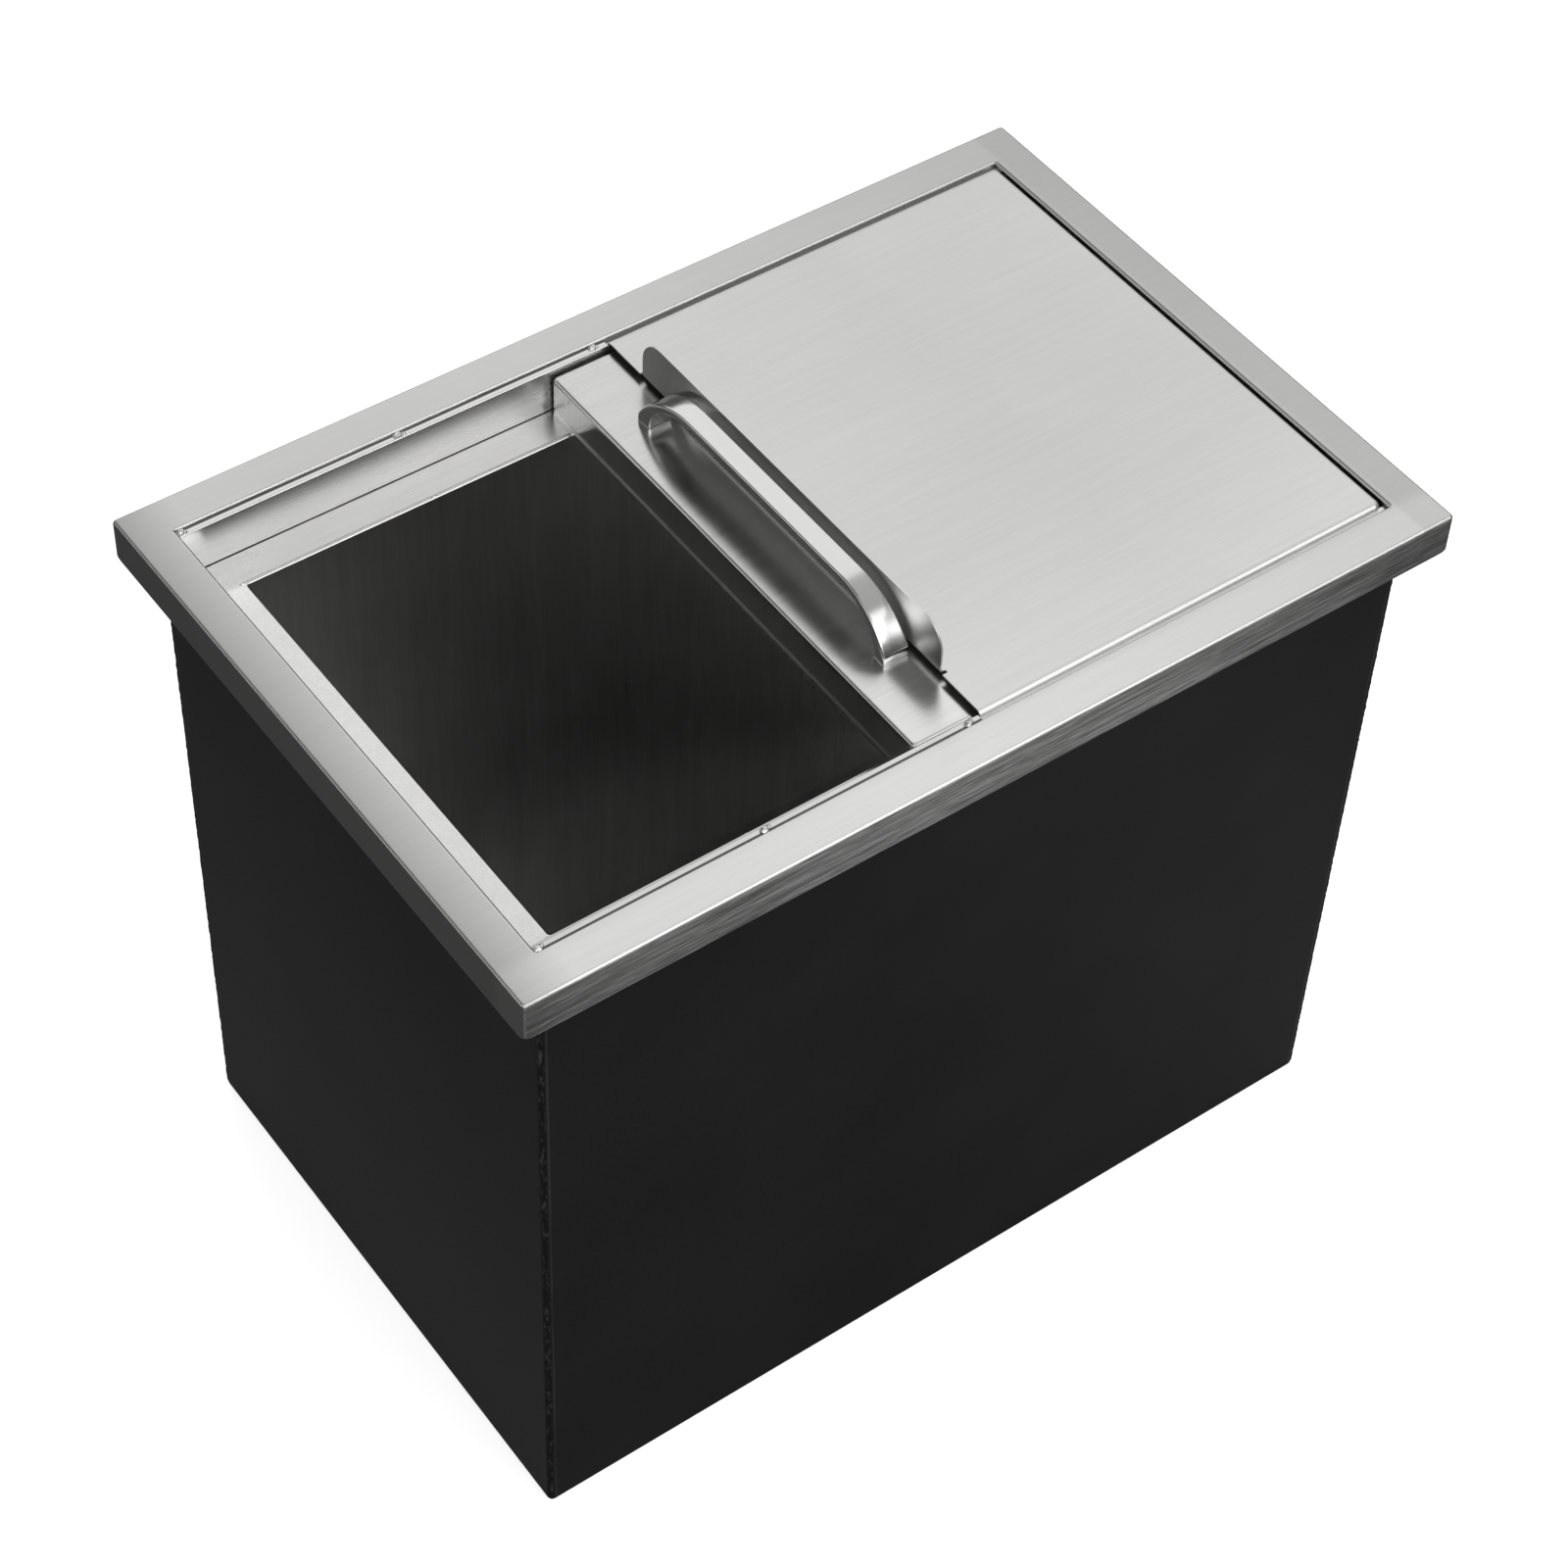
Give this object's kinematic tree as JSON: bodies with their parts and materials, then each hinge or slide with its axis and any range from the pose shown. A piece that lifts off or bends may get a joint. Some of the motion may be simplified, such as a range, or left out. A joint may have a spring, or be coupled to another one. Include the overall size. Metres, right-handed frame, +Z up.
{
  "type": "drop-in ice bin",
  "caption": "Drop-in insulated ice bin: steel rim and liner in a black box, a lower lid with an arched handle that slides under a loose upper lid with a finger guard.",
  "frame": {"origin": "on the plane of the base's underside, below the middle of the rim", "axes": "+X along the long side, from the open half to the closed half; +Y to the rear; +Z up"},
  "size_m": [0.686, 0.456, 0.5924],
  "materials": {
    "rim_steel": "satin",
    "rail_steel": "satin",
    "weld_steel": "satin",
    "liner_steel": "satin",
    "lid_steel": "satin",
    "handle_steel": "satin",
    "fixing_steel": "satin",
    "drain_steel": "satin",
    "cup_steel": "satin",
    "black_coating": "matte",
    "bead_coating": "matte",
    "base_coating": "matte",
    "foam": "matte",
    "gasket_rubber": "matte",
    "nut_plastic": "matte"
  },
  "bodies": {
    "bin": {"base_plate": "base_coating", "corner_beads": "bead_coating", "drain_fitting": "drain_steel", "drain_gasket": "gasket_rubber", "drain_locknut": "nut_plastic", "drain_recess_cup": "cup_steel", "drain_washer": "gasket_rubber", "front_ledge": "rail_steel", "front_rail": "rail_steel", "insulation_floor": "foam", "insulation_front": "foam", "insulation_left": "foam", "insulation_rear": "foam", "insulation_right": "foam", "ledge_knots": "weld_steel", "liner": "liner_steel", "rail_tacks": "weld_steel", "rear_ledge": "rail_steel", "rear_rail": "rail_steel", "shell_front": "black_coating", "shell_left": "black_coating", "shell_rear": "black_coating", "shell_right": "black_coating", "top_rim": "rim_steel"},
    "lower_lid": {"lower_lid": "lid_steel", "handle": "handle_steel", "handle_screws": "fixing_steel", "handle_washers": "fixing_steel"},
    "upper_lid": {"upper_lid": "lid_steel"},
    "strainer": {"drain_strainer": "drain_steel"}
  },
  "joints": [
    {"name": "lower_lid_slide", "type": "slide", "parent": "bin", "child": "lower_lid", "axis": [-1, 0, 0], "range_m": [0, 0.2619]},
    {"name": "upper_lid_lift", "type": "slide", "parent": "bin", "child": "upper_lid", "axis": [0, 0, 1], "range_m": [0, 0.1]},
    {"name": "strainer_lift", "type": "slide", "parent": "bin", "child": "strainer", "axis": [0, 0, 1], "range_m": [0, 0.25]}
  ]
}
